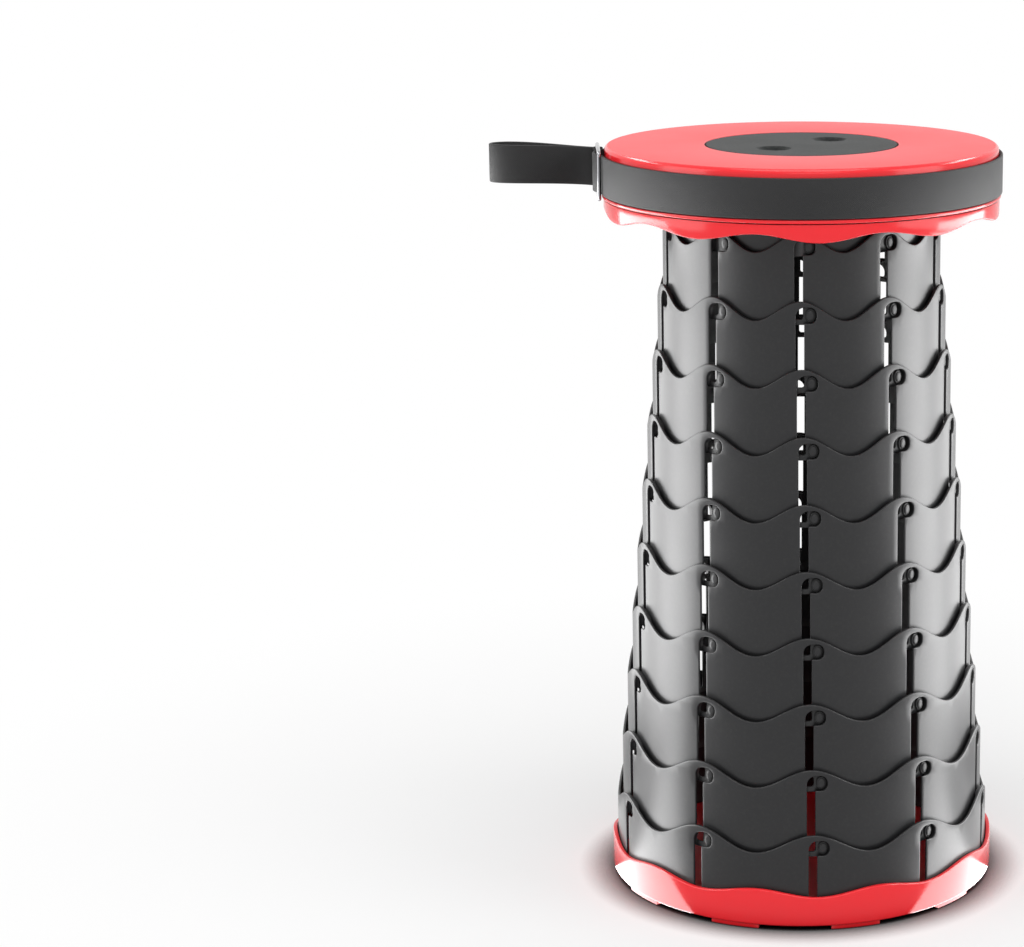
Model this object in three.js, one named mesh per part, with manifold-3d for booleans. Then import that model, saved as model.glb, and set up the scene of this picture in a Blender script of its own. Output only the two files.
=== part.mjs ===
// Collapsible telescopic stool: ten rings that slide into one another, between a round seat and a base.
// Millimetres and degrees, +Z up. The origin is the middle of the seat's top face, and an angle of 0
// looks out of the front (-Y) and grows towards +X.
import * as THREE from "three";
import { mergeVertices } from "three/addons/utils/BufferGeometryUtils.js";
import Module from "manifold-3d";

// The column of rings
const ringCount = 10;
const waveCount = 10; // waves, pins and hooks round each ring
const roundSteps = 4 * waveCount; // facets round the seat and the base
const lockDepth = 51.4; // from the seat's top face down to the first row of pins
const ringPitch = 40.9; // from one row of pins down to the next
const firstRadius = 86.85; // outside of the top ring
const ringStep = 3.67; // from one ring's outside to the next one's
const firstPinAngle = 3.08;
const rowTurn = 0.378; // each row of pins sits a little further round than the one above it

// Clearances and overruns
const slideGap = 0.3; // between a ring and the guide band round it
const fitGap = 0.3; // between fixed pieces that touch
const overrun = 2; // how far a cut runs past the wall it goes through

// One ring
const lowerWall = 1.1; // wall under the hooks, thin enough for the next ring's pins to pass inside
const crestHeight = 8.8; // crest of the wavy edge above the middle of the pins
const crestMargin = 0.6; // how far a crest runs past the hook under it, to each side
const waveShift = 6.1; // middle of the wave to the left of its pin
const waveDrop = 12.3; // from a crest down to a valley
const lipWall = 1.5; // thin lip along the wavy edge, in front of the guide pads
const lipHeight = 3; // how far the lip stands over the top of the pads
const padEnd = 0.3; // what is left of the pads in a valley, in height and in thickness
const ringFoot = 6; // lower edge under the middle of the pins
const slotFoot = 3.4; // closed strip under each slot
const slotWidth = 5.2;
const slotShift = 6.5; // a slot's middle to the left of its pin
const hookHeight = 5.2; // top of the hook above the middle of its pin
const hookRound = 6;
const pocketRound = 3;
const pocketGap = 0.8; // beside a pin in its pocket

// The pins
const pinHalfWidth = 2.9;
const pinHalfHeight = 4.1;
const pinReach = 1.9; // out of the ring's wall
const pinRoot = 0.6; // into the ring's wall
const pinTaperShare = 0.84;
const pinSides = 6;

// Seat
const seatLip = 0.82; // seat's side outside the skirt's tongue
const seatPanel = 2.5; // thickness of the top panel
const rimRound = 2.8;
const seatWall = 2;
const strapTop = 5; // seat's top face to the strap's upper edge
const strapWidth = 24;
const flangeReach = 1.8; // flange under the strap, out from the seat's side
const flangeHeight = 2.5;
const skirtStep = 0.8; // skirt's side out from the seat's side
const skirtHeight = 6.3; // skirt's side from its upper edge to the crests of its lower edge
const skirtWave = 4.9;
const skirtLap = 6; // tongue of the skirt that stands up inside the seat's side
const tongueWall = 0.8;
const waveAngle = 5.1; // where the skirt's edge is lowest

// Centre disc, with two dished finger grips
const discRadius = 59.9;
const discThick = 3;
const discEdge = 0.5;
const gripRadius = 11;
const gripDepth = 1.7;
const gripFloorShare = 0.6;
const gripSides = 14;
const gripOut = 28.6; // from the middle of the seat
const gripAngle = 53; // of the first grip, from +X

// Sleeve and screws under the seat
const sleeveWall = 1.8;
const sleeveFlange = 10; // width of the screwed flange
const sleeveFlangeThick = 2.5;
const bossCount = 5;
const bossRadius = 4;
const bossHeight = 9.5;
const bossInset = 5.4; // from the sleeve's inside to the middle of a boss
const screwRadius = 1.5;
const screwBite = 7.5; // how far a screw goes into its boss
const screwHeadRadius = 3.4;
const screwHeadHeight = 2.2;
const screwSides = 8;

// Base
const baseWall = 2.87;
const baseRaised = 2; // floor of the base under the last ring
const baseCrest = 23.4; // crest of the base's edge above its underside
const baseWave = 4.7;
const baseChamfer = 1.5;
const nibWidth = 5;
const nibHeight = 3;
const nibReach = 1;
const footHeight = 2.8;
const footWidthAngle = 14.7;
const footAngle = 16.1;
const footLength = 18;
const footSteps = 2;
const ribHeight = 1.8;
const ribWidth = 2;
const ribRingRadius = 60;

// Carry strap round the seat, its metal slider, and the handle loop on the slider's far bar
const strapThick = 2;
const strapGap = 0.5; // to the seat's side
const swellLength = 44; // of the strap that swells out over the slider's middle bar
const swellSteps = 6;
const sliderWide = 50.6;
const sliderTall = 31;
const sliderCorner = 2.4;
const sliderDrop = 1.8; // seat's top face to the slider's upper edge
const sliderTurn = 5;
const wireThick = 2.6;
const wireChamfer = 0.7;
const wireGap = 1; // from the flange to the slider's middle bar
const handleAngle = -90;
const handleLean = 7.7; // towards the front
const handleLength = 67.8; // from the far bar to the tip
const handleHalfWidth = 10;
const handleRise = 3.4; // how far it climbs to its tip
const handleSteps = 14;
const neckLength = 3; // where the two layers are sewn together
const eyeletSteps = 10;

// Lengths that follow from the ones above
const ringTravel = lockDepth - crestHeight - seatPanel - fitGap;
const lastPinDepth = lockDepth + (ringCount - 1) * ringPitch;
const ringsBottom = lastPinDepth + ringPitch + ringFoot;
const floorTop = ringsBottom + fitGap;
const baseBottom = floorTop + baseRaised;
const tongueInside = ringRadius(ringCount) + 2 * slideGap;
const tongueOutside = tongueInside + tongueWall;
const seatRadius = tongueOutside + fitGap + seatLip;
const flangeTop = -strapTop - strapWidth - fitGap;
const flangeFoot = flangeTop - flangeHeight;
const skirtRadius = seatRadius + skirtStep;
const skirtTop = flangeFoot - fitGap;
const tongueTop = skirtTop + skirtLap - 2 * fitGap;
const baseInside = ringRadius(ringCount) + fitGap + slideGap / 2;
const baseRadius = baseInside + baseWall;
const strapInside = seatRadius + strapGap;
const strapOutside = strapInside + strapThick;
const wireOut = seatRadius + flangeReach + wireGap + wireThick / 2; // middle of the slider's bars

const red = new THREE.MeshStandardMaterial({ color: 0xe8313b, roughness: 0.35 });
const black = new THREE.MeshStandardMaterial({ color: 0x2b2b2d, roughness: 0.42 });
const grey = new THREE.MeshStandardMaterial({ color: 0x4b4f50, roughness: 0.6 });
const webbing = new THREE.MeshStandardMaterial({ color: 0x3c3c3e, roughness: 0.9 });
const chrome = new THREE.MeshStandardMaterial({ color: 0xc8c8cc, roughness: 0.2, metalness: 1 });

const wasm = await Module();
wasm.setup();

// A closed geometry as a manifold solid
function solidOf(geometry) {
  const bare = geometry.clone();
  bare.deleteAttribute("normal");
  bare.deleteAttribute("uv");
  const merged = mergeVertices(bare);
  return new wasm.Manifold(
    new wasm.Mesh({
      numProp: 3,
      vertProperties: merged.attributes.position.array,
      triVerts: new Uint32Array(merged.index.array),
    }),
  );
}

// A manifold solid as a three.js geometry
function geometryOf(solid) {
  const mesh = solid.getMesh();
  const geometry = new THREE.BufferGeometry();
  geometry.setAttribute("position", new THREE.BufferAttribute(mesh.vertProperties, 3));
  geometry.setIndex(new THREE.BufferAttribute(mesh.triVerts, 1));
  return geometry;
}

function piece(name, geometry, material) {
  const mesh = new THREE.Mesh(geometry, material);
  mesh.name = name;
  return mesh;
}

// An arc length on a wall of some radius, as an angle
function asAngle(length, radius) {
  return THREE.MathUtils.radToDeg(length / radius);
}

// The frame of something on a wall: X along the wall, Y up and Z straight out
function onWall(angle, radius, height) {
  const turn = THREE.MathUtils.degToRad(angle);
  const out = new THREE.Vector3(Math.sin(turn), -Math.cos(turn), 0);
  const along = new THREE.Vector3(Math.cos(turn), Math.sin(turn), 0);
  const place = out.clone().multiplyScalar(radius).setZ(height);
  return new THREE.Matrix4().makeBasis(along, new THREE.Vector3(0, 0, 1), out).setPosition(place);
}

// A revolved body. The profile holds [radius, height] pairs and runs up the outside and down the inside.
function revolve(profile, steps = roundSteps) {
  const points = profile.map(([radius, height]) => new THREE.Vector2(radius, height));
  return new THREE.LatheGeometry(points, steps).rotateX(Math.PI / 2);
}

// A revolved body with a wavy edge. The profile holds [radius, height, share of the wave, valley radius],
// and corners holds the angle and the fall of the edge at each column of points.
function wavyRevolve(profile, corners, drop) {
  const geometry = revolve(profile, corners.length);
  const position = geometry.getAttribute("position");
  for (let column = 0; column <= corners.length; column++) {
    const { angle, fall } = corners[column % corners.length];
    const turn = THREE.MathUtils.degToRad(angle);
    profile.forEach(([crestRadius, height, share, valleyRadius = crestRadius], row) => {
      const radius = THREE.MathUtils.lerp(crestRadius, valleyRadius, fall);
      const z = height - share * drop * fall;
      position.setXYZ(column * profile.length + row, radius * Math.sin(turn), -radius * Math.cos(turn), z);
    });
  }
  return geometry;
}

// The columns of a ring's wall: two at the ends of each crest, clear of the hook under it, and two round
// the valley. pinTurn is the angle of the first pin.
function ringCorners(radius, pinTurn) {
  const waveTurn = 360 / waveCount;
  const start = pinTurn - asAngle(slotShift + slotWidth / 2 + crestMargin, radius);
  const end = pinTurn + asAngle(pinHalfWidth + pocketGap + crestMargin, radius);
  const valley = pinTurn - asAngle(waveShift, radius) + waveTurn / 2;
  const half = (waveTurn - (end - start)) / 6;
  return Array.from({ length: waveCount }, (_, wave) => [
    { angle: start + wave * waveTurn, fall: 0 },
    { angle: end + wave * waveTurn, fall: 0 },
    { angle: valley - half + wave * waveTurn, fall: 1 },
    { angle: valley + half + wave * waveTurn, fall: 1 },
  ]).flat();
}

// Evenly spaced columns, where the edge is high for half of each wave and low for the other half
function evenCorners(lowAngle) {
  const step = 360 / roundSteps;
  return Array.from({ length: roundSteps }, (_, i) => {
    const angle = lowAngle + (i + 1 / 2) * step;
    const low = Math.cos(THREE.MathUtils.degToRad((angle - lowAngle) * waveCount)) > 0;
    return { angle, fall: low ? 1 : 0 };
  });
}

function arc(middleX, middleY, radius, from, to, steps) {
  return Array.from({ length: steps + 1 }, (_, i) => {
    const turn = THREE.MathUtils.degToRad(from + ((to - from) * i) / steps);
    return [middleX + radius * Math.cos(turn), middleY + radius * Math.sin(turn)];
  });
}

// Angle of the pins in a row: row 0 holds the seat's own pins
function pinAngle(row) {
  return firstPinAngle + row * rowTurn;
}

function ringRadius(number) {
  return firstRadius + (number - 1) * ringStep;
}

// Oval pins round a wall, with a little draft
function pins(radius, angle, height) {
  const length = pinRoot + pinReach;
  const shape = new THREE.CylinderGeometry(pinTaperShare, 1, length, pinSides)
    .rotateX(Math.PI / 2)
    .rotateZ(Math.PI / pinSides)
    .scale(pinHalfWidth, pinHalfHeight / Math.cos(Math.PI / pinSides), 1)
    .translate(0, 0, length / 2 - pinRoot);
  return Array.from({ length: waveCount }, (_, i) =>
    solidOf(shape.clone().applyMatrix4(onWall(angle + (i * 360) / waveCount, radius, height))),
  );
}

// The hook in a ring's wall: a slot that runs up, bends over to the right and ends in a pocket for the pin
function hookOutline() {
  const left = -slotShift - slotWidth / 2;
  const right = -slotShift + slotWidth / 2;
  const pocketRight = pinHalfWidth + pocketGap;
  const pocketFloor = -pinHalfHeight - slideGap;
  return new THREE.Shape([
    new THREE.Vector2(left, slotFoot - ringFoot - ringPitch),
    new THREE.Vector2(right, slotFoot - ringFoot - ringPitch),
    new THREE.Vector2(right, pocketFloor),
    new THREE.Vector2(pocketRight, pocketFloor),
    new THREE.Vector2(pocketRight, hookHeight - pocketRound),
    new THREE.Vector2(pocketRight - pocketRound, hookHeight),
    new THREE.Vector2(left + hookRound, hookHeight),
    new THREE.Vector2(left, hookHeight - hookRound),
  ]);
}

function hooks(radius) {
  const depth = ringStep + 2 * overrun;
  const cut = new THREE.ExtrudeGeometry(hookOutline(), { depth, bevelEnabled: false });
  return Array.from({ length: waveCount }, (_, i) =>
    solidOf(cut.clone().applyMatrix4(onWall((i * 360) / waveCount, radius - ringStep - overrun, 0))),
  );
}

// One ring, with its hooks' pins at height 0 and angle 0. Behind the lip of its wavy edge, guide pads round
// the hooks reach in to the next ring and thin out towards the valleys. The wall under the hooks is thin, so
// that the pins inside can slide down past it.
function ringGeometry(number) {
  const outside = ringRadius(number);
  const lipInside = outside - lipWall;
  const padInside = outside - ringStep + slideGap;
  const padThin = lipInside - padEnd;
  const wallInside = outside - lowerWall;
  const shelf = -pinHalfHeight - slideGap;
  const foot = -ringPitch - ringFoot;
  const padTop = crestHeight - lipHeight;
  const padShare = (padTop - shelf - padEnd) / waveDrop;
  const profile = [
    [outside, foot, 0],
    [outside, crestHeight, 1],
    [lipInside, crestHeight, 1],
    [lipInside, padTop, padShare],
    [padInside, padTop, padShare, padThin],
    [padInside, shelf, 0, padThin],
    [wallInside, shelf, 0],
    [wallInside, foot, 0],
    [outside, foot, 0],
  ];
  const corners = ringCorners(outside, 0);
  let solid = solidOf(wavyRevolve(profile, corners, waveDrop));
  for (const hook of hooks(outside)) solid = solid.subtract(hook);
  if (number < ringCount) {
    for (const pin of pins(outside, rowTurn, -ringPitch)) solid = solid.add(pin);
  }
  return geometryOf(solid);
}

// The sleeve under the seat: the innermost ring, with pins and no hooks, and a flange for the screws
function sleeveGeometry() {
  const outside = ringRadius(0);
  const inside = outside - sleeveWall;
  const top = -seatPanel - bossHeight - fitGap;
  const profile = [
    [outside, -lockDepth - ringFoot, 0],
    [outside, top, 0],
    [inside - sleeveFlange, top, 0],
    [inside - sleeveFlange, top - sleeveFlangeThick, 0],
    [inside, top - sleeveFlangeThick, 0],
    [inside, -lockDepth - ringFoot, 0],
    [outside, -lockDepth - ringFoot, 0],
  ];
  const corners = ringCorners(outside, pinAngle(0));
  let solid = solidOf(wavyRevolve(profile, corners, waveDrop));
  for (const pin of pins(outside, pinAngle(0), -lockDepth)) solid = solid.add(pin);
  const hole = screwBore(top - sleeveFlangeThick - overrun, top + overrun);
  for (const place of bossPlaces()) solid = solid.subtract(solidOf(hole.clone().translate(...place)));
  return geometryOf(solid);
}

// Where the bosses and their screws stand round the seat's axis
function bossPlaces() {
  const radius = ringRadius(0) - sleeveWall - bossInset;
  return arc(0, 0, radius, 90, 450 - 360 / bossCount, bossCount - 1).map(([x, y]) => [x, y, 0]);
}

// The seat: a top panel with a recess for the disc, a rounded rim, and a side with a flange under the strap
function seatGeometry() {
  const inside = seatRadius - seatWall;
  const recessRadius = discRadius + fitGap;
  const recessFloor = -discThick - fitGap;
  const lapTop = tongueTop + fitGap;
  const lapInside = tongueOutside + fitGap;
  const profile = [
    [0, recessFloor - seatPanel],
    [recessRadius + seatPanel, recessFloor - seatPanel],
    [recessRadius + 2 * seatPanel, -seatPanel],
    [inside, -seatPanel],
    [inside, lapTop],
    [lapInside, lapTop],
    [lapInside, flangeFoot],
    [seatRadius + flangeReach, flangeFoot],
    [seatRadius + flangeReach, flangeTop],
    [seatRadius, flangeTop],
    ...arc(seatRadius - rimRound, -rimRound, rimRound, 0, 90, 2),
    [recessRadius, 0],
    [recessRadius, recessFloor],
    [0, recessFloor],
  ];
  let solid = solidOf(revolve(profile));
  const bossFoot = -seatPanel - bossHeight;
  const boss = upright(bossRadius, bossFoot, -seatPanel / 2, screwSides);
  const bore = screwBore(bossFoot - overrun, bossFoot + screwBite + fitGap);
  for (const place of bossPlaces()) solid = solid.add(solidOf(boss.clone().translate(...place)));
  for (const place of bossPlaces()) solid = solid.subtract(solidOf(bore.clone().translate(...place)));
  return geometryOf(solid);
}

// The red skirt under the seat: a wavy edge below the strap, and a tongue that stands inside the seat's side
function skirtGeometry() {
  const crest = skirtTop - skirtHeight;
  const profile = [
    [skirtRadius, crest, 1],
    [skirtRadius, skirtTop, 0],
    [tongueOutside, skirtTop, 0],
    [tongueOutside, tongueTop, 0],
    [tongueInside, tongueTop, 0],
    [tongueInside, crest, 1],
    [skirtRadius, crest, 1],
  ];
  return wavyRevolve(profile, evenCorners(waveAngle), skirtWave);
}

function discGeometry() {
  const profile = [
    [0, -discThick],
    [discRadius, -discThick],
    [discRadius, -discEdge],
    [discRadius - discEdge, 0],
    [0, 0],
  ];
  const dish = new THREE.CylinderGeometry(gripRadius, gripRadius * gripFloorShare, gripDepth, gripSides)
    .rotateX(Math.PI / 2)
    .translate(0, 0, -gripDepth / 2);
  const grip = solidOf(dish).add(solidOf(upright(gripRadius, 0, overrun, gripSides)));
  let solid = solidOf(revolve(profile));
  for (const [x, y] of arc(0, 0, gripOut, gripAngle, gripAngle + 180, 1)) {
    solid = solid.subtract(grip.translate([x, y, 0]));
  }
  return geometryOf(solid);
}

// A cylinder along Z between two heights
function upright(radius, foot, top, sides) {
  return new THREE.CylinderGeometry(radius, radius, top - foot, sides)
    .rotateX(Math.PI / 2)
    .translate(0, 0, (top + foot) / 2);
}

function screwBore(foot, top) {
  return upright(screwRadius + fitGap, foot, top, screwSides);
}

// A pan-head screw, from the sleeve's flange up into its boss
function screwGeometry() {
  const seat = -seatPanel - bossHeight - 2 * fitGap - sleeveFlangeThick;
  const tip = -seatPanel - bossHeight + screwBite;
  const profile = [
    [0, seat - screwHeadHeight],
    [screwHeadRadius * pinTaperShare, seat - screwHeadHeight],
    [screwHeadRadius, seat],
    [screwRadius, seat],
    [screwRadius, tip],
    [0, tip],
  ];
  return revolve(profile, screwSides);
}

// The base: a shallow pan round the last ring, with a wavy edge, feet and ribs underneath, and a nib
// in the foot of each of the last ring's slots that keeps the ring down
function baseGeometry() {
  const crest = -baseBottom + baseCrest;
  const profile = [
    [0, -baseBottom, 0],
    [baseRadius - baseChamfer, -baseBottom, 0],
    [baseRadius, -baseBottom + baseChamfer, 0],
    [baseRadius, crest, 1],
    [baseInside, crest, 1],
    [baseInside, -floorTop, 0],
    [0, -floorTop, 0],
  ];
  let solid = solidOf(wavyRevolve(profile, evenCorners(waveAngle), baseWave));
  const nibFoot = -ringsBottom + slotFoot + fitGap;
  const nibDepth = nibReach + baseWall - baseChamfer;
  const nib = new THREE.BoxGeometry(nibWidth, nibHeight, nibDepth);
  const lastAngle = pinAngle(ringCount - 1) - asAngle(slotShift, ringRadius(ringCount));
  for (let i = 0; i < waveCount; i++) {
    const angle = lastAngle + (i * 360) / waveCount;
    const frame = onWall(angle, baseInside - nibReach + nibDepth / 2, nibFoot + nibHeight / 2);
    solid = solid.add(solidOf(nib.clone().applyMatrix4(frame)));
  }
  for (const foot of feet()) solid = solid.add(foot);
  for (const rib of ribs()) solid = solid.add(rib);
  return geometryOf(solid);
}

function feet() {
  const outside = baseRadius - baseChamfer;
  const half = footWidthAngle / 2;
  const outline = [
    ...arc(0, 0, outside, -half, half, footSteps),
    ...arc(0, 0, outside - footLength, half, -half, footSteps),
  ].map(([x, y]) => new THREE.Vector2(x, y));
  const depth = footHeight + baseRaised / 2;
  const foot = new THREE.ExtrudeGeometry(new THREE.Shape(outline), { depth, bevelEnabled: false })
    .translate(0, 0, -baseBottom - footHeight)
    .rotateZ(THREE.MathUtils.degToRad(footAngle - 90));
  const turns = Array.from({ length: waveCount }, (_, i) => (i * 2 * Math.PI) / waveCount);
  return turns.map((turn) => solidOf(foot.clone().rotateZ(turn)));
}

// A ring of rib and ten spokes that stiffen the base from below
function ribs() {
  const top = -baseBottom + baseRaised / 2;
  const foot = -baseBottom - ribHeight;
  const ring = [
    [ribRingRadius - ribWidth / 2, top],
    [ribRingRadius - ribWidth / 2, foot],
    [ribRingRadius + ribWidth / 2, foot],
    [ribRingRadius + ribWidth / 2, top],
    [ribRingRadius - ribWidth / 2, top],
  ];
  const length = baseRadius - baseChamfer - footLength / 2 - ribRingRadius;
  const spoke = new THREE.BoxGeometry(length, ribWidth, top - foot)
    .translate(ribRingRadius + length / 2, 0, (top + foot) / 2)
    .rotateZ(THREE.MathUtils.degToRad(footAngle - 90));
  const spokes = Array.from({ length: waveCount }, (_, i) =>
    solidOf(spoke.clone().rotateZ((i * 2 * Math.PI) / waveCount)),
  );
  return [solidOf(revolve(ring, 2 * waveCount)), ...spokes];
}

// The strap and its handle are drawn from above, with x out along the handle. This turn brings them round.
function strapTurn(lean) {
  return THREE.MathUtils.degToRad(handleAngle - 90 + lean);
}

function shapeOf(outline, holes) {
  const asPoints = (pairs) => pairs.map(([x, y]) => new THREE.Vector2(x, y));
  const shape = new THREE.Shape(asPoints(outline));
  for (const hole of holes) shape.holes.push(new THREE.Path(asPoints(hole)));
  return shape;
}

// One face of the strap round the seat, which swells out where it passes over the slider's middle bar
function bandOutline(radius) {
  const swell = wireOut + wireThick / 2 + fitGap - strapInside;
  const half = asAngle(swellLength / 2, radius);
  const over = Array.from({ length: swellSteps }, (_, i) => -half + (2 * half * i) / swellSteps);
  const rest = Array.from({ length: roundSteps }, (_, i) => half + ((360 - 2 * half) * i) / roundSteps);
  return [...over, ...rest].map((angle) => {
    const out = Math.abs(angle) < half ? (swell * (1 + Math.cos((Math.PI * angle) / half))) / 2 : 0;
    const turn = THREE.MathUtils.degToRad(angle);
    return [(radius + out) * Math.cos(turn), (radius + out) * Math.sin(turn)];
  });
}

function bandGeometry() {
  const shape = shapeOf(bandOutline(strapOutside), [bandOutline(strapInside)]);
  return new THREE.ExtrudeGeometry(shape, { depth: strapWidth, bevelEnabled: false })
    .translate(0, 0, -strapTop - strapWidth)
    .rotateZ(strapTurn(0));
}

// One face of the handle's loop, where it is open for the fingers. The middle of the webbing is shaped like a
// drop, and the face lies outside or inside it.
function loopOutline(side) {
  const start = wireThick / 2 + fitGap + strapThick + neckLength;
  const length = handleLength - strapThick / 2 - start;
  const widest = Math.cos(Math.PI / 6) ** 3 * Math.sin(Math.PI / 6);
  const spread = (handleHalfWidth - strapThick / 2) / widest;
  return Array.from({ length: 2 * handleSteps - 1 }, (_, i) => {
    const turn = (Math.PI * (i + 1 - handleSteps)) / (2 * handleSteps);
    const [cosine, sine] = [Math.cos(turn), Math.sin(turn)];
    const middle = new THREE.Vector2(start + cosine ** 2 * length, spread * cosine ** 3 * sine);
    const rise = spread * cosine * (cosine ** 2 - 3 * sine ** 2);
    const away = new THREE.Vector2(rise, 2 * sine * length).setLength((side * strapThick) / 2);
    return { middle, face: middle.clone().add(away) };
  })
    .filter(({ middle }) => middle.x > handleLength / 2 || Math.abs(middle.y) > strapThick)
    .map(({ face }) => face.toArray());
}

// The handle, seen from above: one end wraps the slider's far bar, its two layers are sewn together for a
// short way, and then they open for the fingers. It climbs a little towards its tip.
function handleGeometry() {
  const bore = wireThick / 2 + fitGap;
  const eyelet = bore + strapThick;
  const neckTurn = THREE.MathUtils.radToDeg(Math.asin(strapThick / eyelet));
  const outline = [
    ...arc(0, 0, eyelet, neckTurn, 360 - neckTurn, eyeletSteps - 2),
    ...loopOutline(1),
  ];
  const boreOutline = arc(0, 0, bore, 0, 360 - 360 / eyeletSteps, eyeletSteps - 1);
  const shape = shapeOf(outline, [boreOutline, loopOutline(-1)]);
  const geometry = new THREE.ExtrudeGeometry(shape, { depth: strapWidth, bevelEnabled: false });
  const position = geometry.getAttribute("position");
  for (let i = 0; i < position.count; i++) {
    const along = Math.max(0, (position.getX(i) - eyelet) / (handleLength - eyelet));
    position.setZ(i, position.getZ(i) + handleRise * Math.sin((Math.min(along, 1) * Math.PI) / 2));
  }
  return geometry.translate(0, 0, -strapTop - strapWidth).rotateZ(strapTurn(handleLean));
}

function roundedRectangle(middle, width, height, corner) {
  const [x, y] = [width / 2 - corner, height / 2 - corner];
  const shape = new THREE.Shape();
  shape.absarc(middle + x, y, corner, 0, Math.PI / 2);
  shape.absarc(middle - x, y, corner, Math.PI / 2, Math.PI);
  shape.absarc(middle - x, -y, corner, Math.PI, 1.5 * Math.PI);
  shape.absarc(middle + x, -y, corner, 1.5 * Math.PI, 2 * Math.PI);
  return shape;
}

// The metal slider: a rounded frame with a middle bar, which the strap is threaded over
function sliderGeometry() {
  const corner = sliderCorner - wireChamfer;
  const shape = roundedRectangle(0, sliderWide - 2 * wireChamfer, sliderTall - 2 * wireChamfer, corner);
  const window = (sliderWide - 3 * wireThick) / 2;
  for (const side of [-1, 1]) {
    const middle = (side * (window + wireThick)) / 2;
    const [width, height] = [window + 2 * wireChamfer, sliderTall - 2 * wireThick + 2 * wireChamfer];
    shape.holes.push(roundedRectangle(middle, width, height, corner));
  }
  const depth = wireThick - 2 * wireChamfer;
  const bevel = { bevelThickness: wireChamfer, bevelSize: wireChamfer, bevelSegments: 1 };
  return new THREE.ExtrudeGeometry(shape, { depth, curveSegments: 1, ...bevel }).translate(0, 0, -depth / 2);
}

function buildSeat() {
  const seat = new THREE.Group();
  seat.add(piece("seat_top", seatGeometry(), red));
  seat.add(piece("seat_skirt", skirtGeometry(), red));
  seat.add(piece("seat_disc", discGeometry(), grey));
  seat.add(piece("seat_sleeve", sleeveGeometry(), black));
  seat.add(piece("strap_band", bandGeometry(), webbing));
  const slider = piece("strap_slider", sliderGeometry(), chrome);
  slider.applyMatrix4(onWall(handleAngle, wireOut, -sliderDrop - sliderTall / 2));
  slider.rotateY(THREE.MathUtils.degToRad(sliderTurn));
  seat.add(slider);
  const handle = piece("handle_loop", handleGeometry(), webbing);
  const farBar = slider.localToWorld(new THREE.Vector3((wireThick - sliderWide) / 2, 0, 0));
  handle.position.set(farBar.x, farBar.y, 0);
  seat.add(handle);
  bossPlaces().forEach((place, i) => {
    const screw = piece("seat_screw_" + (i + 1), screwGeometry(), chrome);
    screw.position.set(...place);
    seat.add(screw);
  });
  return seat;
}

function buildRing(number) {
  const ring = piece("ring_" + number, ringGeometry(number), black);
  ring.position.z = -lockDepth - (number - 1) * ringPitch;
  ring.rotation.z = THREE.MathUtils.degToRad(pinAngle(number - 1));
  return ring;
}

const stool = new THREE.Group();
stool.add(buildSeat());
for (let number = 1; number <= ringCount; number++) stool.add(buildRing(number));
stool.add(piece("base_shell", baseGeometry(), red));
console.log("ring travel", ringTravel.toFixed(3), "stool height", (baseBottom + footHeight).toFixed(3));

export default stool;
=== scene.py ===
"""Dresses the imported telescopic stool: the fine shape and finish of every piece, and the studio round it."""

import math

import bmesh
import bpy
from mathutils import Matrix, Vector
from mathutils.geometry import delaunay_2d_cdt


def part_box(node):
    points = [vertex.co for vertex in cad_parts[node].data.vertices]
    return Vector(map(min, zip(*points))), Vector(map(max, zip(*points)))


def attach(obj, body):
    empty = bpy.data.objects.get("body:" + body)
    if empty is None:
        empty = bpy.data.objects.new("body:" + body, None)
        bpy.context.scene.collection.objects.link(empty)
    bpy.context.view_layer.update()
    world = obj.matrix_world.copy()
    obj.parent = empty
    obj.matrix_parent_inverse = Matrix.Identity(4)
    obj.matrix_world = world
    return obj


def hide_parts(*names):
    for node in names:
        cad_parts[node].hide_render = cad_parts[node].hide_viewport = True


bl_info = {
    "name": "Telescopic stool",
    "version": (1, 0, 0),
    "blender": (4, 5, 0),
    "location": "View3D > Sidebar > Stool",
    "description": "Builds the rings, seat, strap and base of a collapsible stool",
    "category": "Add Mesh",
}

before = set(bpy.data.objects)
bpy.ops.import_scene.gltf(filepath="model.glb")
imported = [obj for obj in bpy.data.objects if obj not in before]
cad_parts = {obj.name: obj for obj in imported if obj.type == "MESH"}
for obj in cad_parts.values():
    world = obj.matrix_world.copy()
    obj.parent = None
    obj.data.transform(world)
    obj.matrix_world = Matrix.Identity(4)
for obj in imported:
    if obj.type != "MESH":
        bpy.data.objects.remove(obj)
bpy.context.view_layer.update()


def mm(length):
    """A length in millimetres, as Blender's metres"""
    return length / 1000


RING_COUNT = 10
SCREW_COUNT = 5
SEAT_BODY = "seat"
BASE_BODY = "base"
BLACK = (0, 0, 0, 1)
# Steps round the seat and the base, and how far feet and ribs go into the floor above them
FINE_STEPS = 240
SINK = mm(0.5)


def srgb(*levels):
    """A colour as it looks on a screen, 0 to 255, as Blender's linear colour"""
    return tuple(((c / 255 + 0.055) / 1.055) ** 2.4 if c > 10 else c / 255 / 12.92 for c in levels)


def millimetres(name, description, default):
    return bpy.props.FloatProperty(
        name=name, description=description, default=mm(default), unit="LENGTH", precision=5
    )


def degrees(name, description, default):
    return bpy.props.FloatProperty(
        name=name, description=description, default=math.radians(default), subtype="ANGLE"
    )


def screen_colour(name, description, *levels):
    return bpy.props.FloatVectorProperty(
        name=name, description=description, default=srgb(*levels), subtype="COLOR", min=0, max=1
    )


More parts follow.
